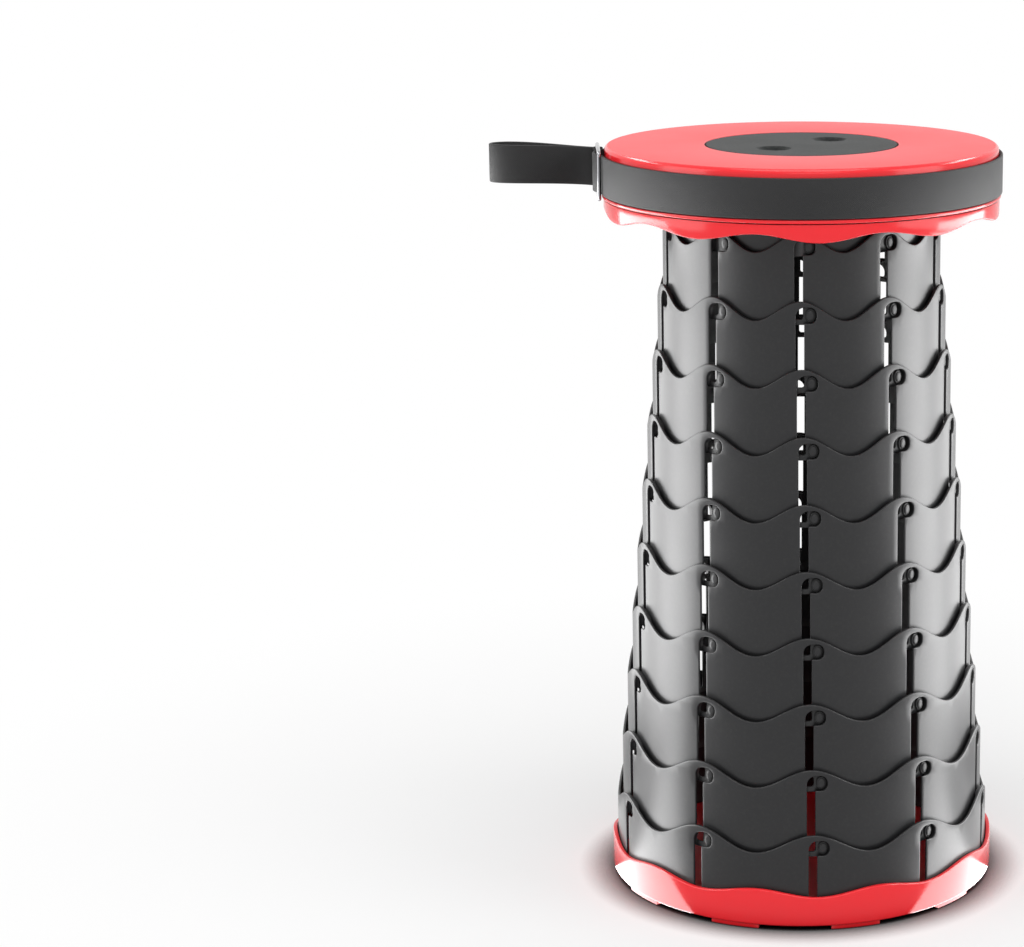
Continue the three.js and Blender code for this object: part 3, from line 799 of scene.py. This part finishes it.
class STOOL_OT_build_sleeve(bpy.types.Operator):
    """Build the sleeve under the seat, with its pins and its screwed flange"""

    bl_idname = "stool.build_sleeve"
    bl_label = "Build the sleeve"

    def execute(self, context):
        sizes = context.scene.stool_rings
        low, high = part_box("seat_sleeve")
        radius = ring_radius(sizes, 0)
        wall, flange, thick, edge, bore = mm(1.8), mm(10), mm(2.5), mm(0.5), mm(1.8)
        inner = radius - wall
        shape = Shape()
        profile = [(radius, low.z, edge), (radius, high.z, edge), (inner, high.z, 0), (inner, low.z, 0)]
        turned(shape, rounded(profile, steps=3), steps=180)
        add_pins(shape, sizes, radius, 0)
        rim, mouth = (
            [round_axis(reach, angle, 0).xy for angle in angles_round(120)]
            for reach in (radius - wall / 2, inner - flange)
        )
        holes = [[spot + bore * toward(angle) for angle in angles_round(20)] for spot in screw_spots()]
        points, faces = filled(rim, [mouth, *holes])
        for height in (high.z, high.z - thick):
            shape.add([(*p, height) for p in points], faces)
        for loop in (mouth, *holes):
            shape.strip([[(*p, high.z) for p in loop], [(*p, high.z - thick) for p in loop]])
        make_piece("sleeve_moulding", shape, black_plastic(), SEAT_BODY, "seat_sleeve")
        return {"FINISHED"}


# The seat and the base


def smooth_wave(waves, low_angle, height, where):
    """Moves the heights that where(z) picks down by a smooth wave that is lowest at low_angle"""

    def lift(angle, z):
        if not where(z):
            return z
        return z - height * (1 + math.cos(waves * (angle - low_angle))) / 2

    return lift


class STOOL_OT_build_seat(bpy.types.Operator):
    """Build the seat's top with its rim and flange, and the wavy skirt under it"""

    bl_idname = "stool.build_seat"
    bl_label = "Build the seat"

    def execute(self, context):
        seat = context.scene.stool_seat
        rings = context.scene.stool_rings
        flange_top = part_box("strap_band")[0].z - seat.seam
        flange_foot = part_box("seat_top")[0].z
        disc_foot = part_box("seat_disc")[0].z
        recess = seat.disc_radius + seat.disc_gap
        recess_floor = disc_foot - seat.seam
        wall = seat.radius - seat.wall
        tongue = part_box("seat_skirt")[1].z
        inner = ring_radius(rings, RING_COUNT) + 2 * rings.slide_gap
        lap = inner + seat.lap_wall + seat.seam
        step_bend, wall_bend, crease = mm(1), mm(1.5), mm(0.2)
        flange_edge, recess_edge = mm(0.9), mm(0.5)
        shape = Shape()
        profile = [
            (0, recess_floor - seat.panel, 0),
            (recess + seat.panel, recess_floor - seat.panel, step_bend),
            (recess + 2 * seat.panel, -seat.panel, step_bend),
            (wall, -seat.panel, wall_bend),
            (wall, tongue + seat.seam, 0),
            (lap, tongue + seat.seam, 0),
            (lap, flange_foot, 0),
            (seat.radius + seat.flange_reach, flange_foot, flange_edge),
            (seat.radius + seat.flange_reach, flange_top, flange_edge),
            (seat.radius, flange_top, crease),
            (seat.radius, 0, seat.rim_round),
            (recess, 0, recess_edge),
            (recess, recess_floor, 0),
            (0, recess_floor, 0),
        ]
        turned(shape, rounded(profile, steps=6, closed=False), FINE_STEPS, closed=False)
        self.add_bosses(shape)
        make_piece("seat_cap", shape, red_plastic(), SEAT_BODY, "seat_top")

        top = flange_foot - seat.seam
        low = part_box("seat_skirt")[0].z + seat.skirt_wave
        foot_edge, top_edge, inner_edge, wave_reach = mm(0.8), mm(0.7), mm(0.6), mm(1.5)
        shape = Shape()
        profile = [
            (seat.skirt_radius, low, foot_edge),
            (seat.skirt_radius, top, top_edge),
            (inner + seat.lap_wall, top, 0),
            (inner + seat.lap_wall, tongue, 0),
            (inner, tongue, 0),
            (inner, low, inner_edge),
        ]
        lift = smooth_wave(rings.waves, seat.wave_angle, seat.skirt_wave, lambda z: z < low + wave_reach)
        turned(shape, rounded(profile, steps=4), FINE_STEPS, lift)
        make_piece("skirt_ring", shape, red_plastic(), SEAT_BODY, "seat_skirt")
        return {"FINISHED"}

    def add_bosses(self, shape):
        """Bored bosses under the seat, which its screws go into"""
        bore, outside, edge = mm(1.8), mm(4), mm(0.4)
        bore_end, foot, root = -mm(4.5), -mm(12), -mm(1)
        profile = [(bore, bore_end, 0), (bore, foot, 0), (outside, foot, edge), (outside, root, 0)]
        boss = rounded(profile, steps=3, closed=False)
        for spot in screw_spots():
            rows = [[(*(spot + r * toward(angle)), z) for r, z in boss] for angle in angles_round(28)]
            shape.strip(rows, closed_row=False, closed_rows=True)


class STOOL_OT_build_disc(bpy.types.Operator):
    """Build the centre disc with its two dished finger grips"""

    bl_idname = "stool.build_disc"
    bl_label = "Build the centre disc"

    def execute(self, context):
        seat = context.scene.stool_seat
        low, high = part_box("seat_disc")
        edge, arc_steps, floor_steps = mm(0.5), 4, 64
        steepness, middle_depth, fall = 4, 0.8, Vector((0.5, 0.2))
        grips = [seat.grip_out * toward(seat.grip_angle + half) for half in (0, math.pi)]

        def dish(point):
            """How deep the grips are at a point: a steep rim, and a floor that falls to the right"""
            for grip in grips:
                away = (point - grip) / seat.grip_radius
                if away.length < 1:
                    rim = min(1, steepness * (1 - away.length))
                    return seat.grip_depth * rim * min(1, middle_depth + fall.dot(away))
            return 0

        outside = seat.disc_radius
        rows = []
        for angle in angles_round(FINE_STEPS):
            row = [round_axis(0, angle, high.z)]
            for radius in spread(0, outside - edge, floor_steps)[1:]:
                point = round_axis(radius, angle, high.z)
                point.z -= dish(point.xy)
                row.append(point)
            for inward, down in edge_arc(edge, arc_steps)[1:]:
                row.append(round_axis(outside - inward, angle, high.z - down))
            row += [round_axis(outside, angle, low.z), round_axis(0, angle, low.z)]
            rows.append(row)
        shape = Shape()
        shape.strip(rows, closed_row=False, closed_rows=True)
        make_piece("centre_disc", shape, grey_plastic(), SEAT_BODY, "seat_disc")
        return {"FINISHED"}


class STOOL_OT_build_base(bpy.types.Operator):
    """Build the base with its wavy edge, its feet and the ribs under it"""

    bl_idname = "stool.build_base"
    bl_label = "Build the base"

    def execute(self, context):
        base = context.scene.stool_base
        rings = context.scene.stool_rings
        seat = context.scene.stool_seat
        low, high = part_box("base_shell")
        under = low.z + base.foot_height
        floor = under + base.floor
        inner = base.radius - base.wall
        edge, foot_bend, wave_reach = mm(0.8), mm(1.5), mm(1.2)
        shape = Shape()
        profile = [
            (0, under, 0),
            (base.radius, under, foot_bend),
            (base.radius, high.z, edge),
            (inner, high.z, edge),
            (inner, floor, edge),
            (0, floor, 0),
        ]
        lift = smooth_wave(rings.waves, seat.wave_angle, base.wave, lambda z: z > high.z - wave_reach)
        turned(shape, rounded(profile, steps=5, closed=False), FINE_STEPS, lift, closed=False)
        shape.add_round(self.foot(base, low.z, under), rings.waves)
        self.add_ribs(shape, base, under, rings.waves)
        make_piece("base_pan", shape, red_plastic(), BASE_BODY, "base_shell")
        return {"FINISHED"}

    def foot(self, base, low, under):
        """A rounded pad under the rim, moulded with the base"""
        sides = 12
        bevel, bend_down, bend_in, inset = mm(0.8), mm(0.25), mm(0.2), mm(1.2)
        outer = base.radius - inset
        inner = outer - base.foot_length
        rows = []
        for height, back in ((under + SINK, 0), (low + bevel, 0), (low + bend_down, bend_in), (low, bevel)):
            half = base.foot_width / 2 - back / outer
            angles = [base.foot_angle + angle for angle in spread(-half, half, sides)]
            outside = [round_axis(outer - back, angle, height) for angle in angles]
            rows.append(outside + [round_axis(inner + back, angle, height) for angle in reversed(angles)])
        pad = Shape()
        pad.strip(rows)
        count = len(rows[0])
        last = (len(rows) - 1) * count
        ends = [(last + i, last + count - 1 - i) for i in range(sides)]
        pad.faces += [(a, a + 1, b - 1, b) for a, b in ends]
        return pad

    def add_ribs(self, shape, base, under, count):
        """A round rib and spokes that stiffen the floor from below"""
        edge, rim_gap = mm(0.4), mm(10)
        half = base.rib_width / 2
        root, foot = under + SINK, under - base.rib_height
        corners = [(-half, root, 0), (-half, foot, edge), (half, foot, edge), (half, root, 0)]
        section = rounded(corners, steps=3)
        turned(shape, [(base.rib_ring + x, z) for x, z in section], steps=120)
        turn = Matrix.Rotation(base.foot_angle, 3, "Z")
        ends = (base.rib_ring, base.radius - rim_gap)
        spoke = Shape()
        spoke.tube([[turn @ Vector((x, -out, z)) for x, z in section] for out in ends])
        shape.add_round(spoke, count)


# The strap


def make_strap(name, path, thick, width, material, replaced):
    """A strap swept along a closed path of points, with a UV map in real lengths"""
    section = rounded_box(thick / 2, width / 2, radius=thick * 0.35, steps=3)
    count, width_points = len(path), len(section)
    points, along = [], [0.0]
    for i, here in enumerate(path):
        after = path[(i + 1) % count]
        ahead = after - path[i - 1]
        side = Vector((ahead.y, -ahead.x, 0)).normalized()
        points += [here + side * x + Vector((0, 0, y)) for x, y in section]
        along.append(along[-1] + (after - here).length)
    faces, uvs = [], []
    for i in range(count):
        a, b = i * width_points, (i + 1) % count * width_points
        for j in range(width_points):
            k = (j + 1) % width_points
            faces.append((a + j, b + j, b + k, a + k))
            low, high = section[j].y, section[k].y
            uvs += [(along[i], low), (along[i + 1], low), (along[i + 1], high), (along[i], high)]
    mesh = bpy.data.meshes.new(name)
    mesh.from_pydata(points, [], faces)
    layer = mesh.uv_layers.new(name="Webbing")
    for loop, uv in zip(layer.data, uvs):
        loop.uv = uv
    place_mesh(mesh, material, SEAT_BODY, replaced, sharp=60)


def strap_frame(lean=0.0):
    """The frame that the strap is drawn in: x runs out towards the handle"""
    return Matrix.Rotation(math.pi + lean, 4, "Z")


def slider_frame(strap):
    """The slider's own frame: x along it towards the far bar, y up, z out from the seat"""
    place = Vector((-strap.slider_out, 0, -strap.slider_drop - strap.slider_tall / 2))
    axes = Matrix(((0, 0, -1), (1, 0, 0), (0, 1, 0))).to_4x4()
    return Matrix.Translation(place) @ Matrix.Rotation(strap.slider_turn, 4, "Z") @ axes


class STOOL_OT_build_strap(bpy.types.Operator):
    """Build the strap round the seat and the handle loop"""

    bl_idname = "stool.build_strap"
    bl_label = "Build the strap"

    def execute(self, context):
        strap = context.scene.stool_strap
        low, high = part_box("strap_band")
        width = high.z - low.z
        middle = (low.z + high.z) / 2
        half = strap.swell_length / 2 / strap.middle_radius
        path = []
        for angle in angles_round(360):
            away = abs(math.remainder(angle, math.tau)) / half
            out = strap.swell * (1 + math.cos(math.pi * away)) / 2 if away < 1 else 0
            radius = strap.middle_radius + out
            path.append(strap_frame() @ Vector((*(radius * toward(angle)), middle)))
        finish = webbing("Grey webbing", finish_colour("webbing"), contrast=2.2)
        make_strap("webbing_band", path, strap.thick, width, finish, "strap_band")

        bar = slider_frame(strap) @ Vector(((strap.slider_wide - strap.wire) / 2, 0, 0))
        place = Matrix.Translation((bar.x, bar.y, middle)) @ strap_frame(strap.handle_lean)
        path = [place @ point for point in self.handle_path(strap)]
        finish = webbing("Dark webbing", finish_colour("handle"), contrast=2.0)
        make_strap("carry_handle", path, strap.thick, width, finish, "handle_loop")
        return {"FINISHED"}

    def handle_path(self, strap):
        """The middle of the webbing: round the far bar, along the sewn neck and round the finger loop"""
        half, seam_gap, wire_gap = strap.thick / 2, mm(0.03), mm(0.35)
        layer = half + seam_gap
        eyelet = strap.wire / 2 + wire_gap + half
        first = math.asin(layer / eyelet)
        start = eyelet + half + strap.neck
        tip = strap.handle_length - half
        widest = math.cos(math.pi / 6) ** 3 * math.sin(math.pi / 6)
        neck = spread(eyelet * math.cos(first), start, count=6)[1:-1]
        points = [eyelet * toward(turn) for turn in spread(first, math.tau - first, count=28)]
        points += [(x, -layer) for x in neck]
        for turn in spread(-math.pi / 2, math.pi / 2, count=72):
            share = math.cos(turn) ** 2
            drop = (strap.handle_half - half) / widest * math.cos(turn) ** 3 * math.sin(turn)
            across = math.hypot(drop, layer * (1 - share ** 2))
            points.append((start + share * (tip - start), math.copysign(across, turn)))
        points += [(x, layer) for x in reversed(neck)]
        rise = []
        for x, y in points:
            along = min(1, max(0, (x - eyelet) / (tip - eyelet)))
            rise.append(Vector((x, y, strap.handle_rise * math.sin(along * math.pi / 2))))
        return rise


class STOOL_OT_build_slider(bpy.types.Operator):
    """Build the plated wire slider"""

    bl_idname = "stool.build_slider"
    bl_label = "Build the slider"

    def execute(self, context):
        strap = context.scene.stool_strap
        finish = metal("Plated wire", finish_colour("metal"), roughness=0.12, uneven=0.08)
        wide = (strap.slider_wide - strap.wire) / 2
        tall = (strap.slider_tall - strap.wire) / 2
        place = slider_frame(strap)
        outline = rounded_box(wide, tall, strap.slider_corner, steps=8)
        shape = Shape()
        self.sweep(shape, [place @ p.to_3d() for p in outline], strap, True)
        self.sweep(shape, [place @ Vector((0, y, 0)) for y in spread(-tall, tall, count=8)], strap, False)
        make_piece("slider_wire", shape, finish, SEAT_BODY, "strap_slider", sharp=60)
        return {"FINISHED"}

    def sweep(self, shape, path, strap, closed):
        """The slider's wire along a path"""
        rows = []
        normal = slider_frame(strap).to_3x3() @ Vector((0, 0, 1))
        for i, here in enumerate(path):
            before = path[i - 1] if closed or i else here
            after = path[(i + 1) % len(path)] if closed or here is not path[-1] else here
            side = (after - before).cross(normal).normalized()
            ways = [side * math.cos(a) + normal * math.sin(a) for a in angles_round(20)]
            rows.append([here + strap.wire / 2 * way for way in ways])
        if closed:
            shape.strip(rows, closed_rows=True)
        else:
            shape.tube(rows)


class STOOL_OT_finish_screws(bpy.types.Operator):
    """Give the seat's screws their zinc-plated finish"""

    bl_idname = "stool.finish_screws"
    bl_label = "Finish the screws"

    def execute(self, context):
        finish = metal("Zinc-plated steel", finish_colour("steel"), roughness=0.35, uneven=0.2)
        for number in range(1, SCREW_COUNT + 1):
            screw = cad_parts[f"seat_screw_{number}"]
            screw.data.materials.clear()
            screw.data.materials.append(finish)
        return {"FINISHED"}


# The studio. A lamp has a name, place, target, width, height and power. The cards are those on the right.

STOOL_MIDDLE = (0, 0, -0.22)
PANELS = (
    ("Top panel", (0, -0.4, 1.9), STOOL_MIDDLE, 1.6, 1.6, 22),
    ("Left fill", (-1.6, -0.6, 0.3), STOOL_MIDDLE, 1.0, 1.4, 11),
    ("Right fill", (1.6, -0.6, 0.3), STOOL_MIDDLE, 1.0, 1.4, 11),
    ("Front fill", (0.3, -2.6, 0.9), STOOL_MIDDLE, 1.4, 1.0, 6),
)
CARDS = (
    ("front card", (0.4, -0.03, -0.2975), (-0.6, -0.03, -0.2975), 0.23, 0.34, 2.5),
    ("back card", (0.36, 0.21, -0.2975), (-0.64, 0.01, -0.2975), 0.25, 0.34, 1.0),
    ("near floor card", (0.22, -0.06, -0.471), (0.22, -0.06, 0.529), 0.3, 0.09, 0.75),
    ("far floor card", (0.26, 0.04, -0.471), (0.26, 0.04, 0.529), 0.22, 0.11, 0.1),
    ("rim card", (0.49, 0.236, 0.336), (0.11, -0.06, 0), 0.45, 0.1, 1.3),
    ("skirt card", (0.35, 0, -0.084), (-0.65, -0.253, -0.084), 0.245, 0.05, 0.45),
)


class STOOL_OT_set_studio(bpy.types.Operator):
    """Set up the camera, the floor, the soft lights and the white surroundings"""

    bl_idname = "stool.set_studio"
    bl_label = "Set up the studio"

    def execute(self, context):
        scene = context.scene
        scene.view_settings.view_transform = "Standard"
        self.add_camera(scene)
        self.add_floor()
        self.add_lights()
        self.add_world(scene)
        return {"FINISHED"}

    def add_camera(self, scene):
        camera = bpy.data.cameras.new("Photo camera")
        camera.sensor_width = 36
        camera.lens = 102.71
        camera.shift_x = -0.2828
        camera.clip_end = 50
        tilt_down = math.radians(13.452)
        eye = add_object("Photo camera", camera)
        eye.location = (0, -1.8111, 0.22271)
        eye.rotation_euler = (math.pi / 2 - tilt_down, 0, 0)
        scene.camera = eye

    def add_floor(self):
        size = 12
        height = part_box("base_shell")[0].z
        mesh = bpy.data.meshes.new("Studio floor")
        corners = [(-size, -size), (size, -size), (size, size), (-size, size)]
        mesh.from_pydata([(x, y, height) for x, y in corners], [], [(0, 1, 2, 3)])
        colour = (*finish_colour("floor"), 1)
        material, tree, shader = new_material("Studio floor", colour[:3])
        shader.inputs["Roughness"].default_value = 1.0
        shader.inputs["Specular IOR Level"].default_value = 0.0
        glow = add_node(tree, "ShaderNodeEmission", Strength=1.0).outputs[0]
        place = add_node(tree, "ShaderNodeTexCoord").outputs["Object"]
        flat = add_node(tree, "ShaderNodeVectorMath", {"operation": "MULTIPLY"}, i0=place, i1=(1, 1, 0))
        away = add_node(tree, "ShaderNodeVectorMath", {"operation": "LENGTH"}, i0=flat.outputs[0])
        share = ramp(
            tree, away.outputs["Value"], low=0.15, high=0.7, kind="SMOOTHSTEP",
            **{"To Min": 0.4, "To Max": 1.0},
        )
        # Painted contact shadow: the floor's colour darkens close to the stool, and it glows less there.
        near = use_group(tree, "Recess shade", Reach=mm(24), Power=3.2)[0]
        tree.links.new(blend_colours(tree, near, BLACK, colour), shader.inputs["Base Color"])
        factor = calculate(tree, "MULTIPLY", calculate(tree, "MULTIPLY", self.seen(tree), share), near)
        mix = add_node(tree, "ShaderNodeMixShader", i0=factor, i1=shader.outputs[0], i2=glow)
        tree.links.new(mix.outputs[0], tree.nodes["Material Output"].inputs["Surface"])
        mesh.materials.append(material)
        floor = add_object("studio_floor", mesh)

    def seen(self, tree):
        """1 for rays from the camera, and for those that metal, gloss or glass sends on"""
        path = add_node(tree, "ShaderNodeLightPath").outputs
        seen = calculate(tree, "MAXIMUM", path["Is Camera Ray"], path["Is Glossy Ray"])
        return calculate(tree, "MAXIMUM", seen, path["Is Transmission Ray"])

    def add_lights(self):
        """Panels that light everything, and cards at each side that only gloss shows"""
        for lamp in PANELS:
            self.add_lamp(*lamp)
        for side, word in ((-1, "Left"), (1, "Right")):
            for name, place, target, *rest in CARDS:
                ends = [(side * x, y, z) for x, y, z in (place, target)]
                self.add_lamp(f"{word} {name}", *ends, *rest).visible_diffuse = False

    def add_lamp(self, name, place, target, wide, tall, power):
        lamp = bpy.data.lights.new(name, "AREA")
        lamp.shape = "RECTANGLE"
        lamp.size, lamp.size_y, lamp.energy = wide, tall, power
        holder = add_object(name, lamp)
        holder.location = place
        holder.rotation_euler = (Vector(target) - Vector(place)).to_track_quat("-Z", "Y").to_euler()
        holder.visible_camera = False
        return holder

    def add_world(self, scene):
        world = bpy.data.worlds.new("Studio")
        world.use_nodes = True
        scene.world = world
        tree = world.node_tree
        strength = calculate(tree, "MULTIPLY_ADD", self.seen(tree), 0.5, 0.5)
        back = tree.nodes["Background"]
        back.inputs["Color"].default_value = (1, 1, 1, 1)
        tree.links.new(strength, back.inputs["Strength"])


class STOOL_PT_panel(bpy.types.Panel):
    """The stool's operators in the sidebar"""

    bl_idname = "STOOL_PT_panel"
    bl_label = "Telescopic stool"
    bl_space_type = "VIEW_3D"
    bl_region_type = "UI"
    bl_category = "Stool"

    def draw(self, context):
        for operator in OPERATORS:
            self.layout.operator(operator.bl_idname)


OPERATORS = (
    STOOL_OT_set_studio,
    STOOL_OT_build_seat,
    STOOL_OT_build_disc,
    STOOL_OT_build_sleeve,
    STOOL_OT_build_rings,
    STOOL_OT_build_base,
    STOOL_OT_build_strap,
    STOOL_OT_build_slider,
    STOOL_OT_finish_screws,
)
SETTINGS = {
    "stool_rings": StoolRingSizes,
    "stool_seat": StoolSeatSizes,
    "stool_base": StoolBaseSizes,
    "stool_strap": StoolStrapSizes,
    "stool_finishes": StoolFinishes,
}


def register():
    for cls in (*SETTINGS.values(), *OPERATORS, STOOL_PT_panel):
        bpy.utils.register_class(cls)
    for name, cls in SETTINGS.items():
        setattr(bpy.types.Scene, name, bpy.props.PointerProperty(type=cls))


def unregister():
    for name in SETTINGS:
        delattr(bpy.types.Scene, name)
    for cls in (STOOL_PT_panel, *OPERATORS, *SETTINGS.values()):
        bpy.utils.unregister_class(cls)


def main():
    register()
    bpy.ops.stool.set_studio()
    bpy.ops.stool.build_seat()
    bpy.ops.stool.build_disc()
    bpy.ops.stool.build_sleeve()
    bpy.ops.stool.build_rings()
    bpy.ops.stool.build_base()
    bpy.ops.stool.build_strap()
    bpy.ops.stool.build_slider()
    bpy.ops.stool.finish_screws()


if __name__ == "__main__":
    main()
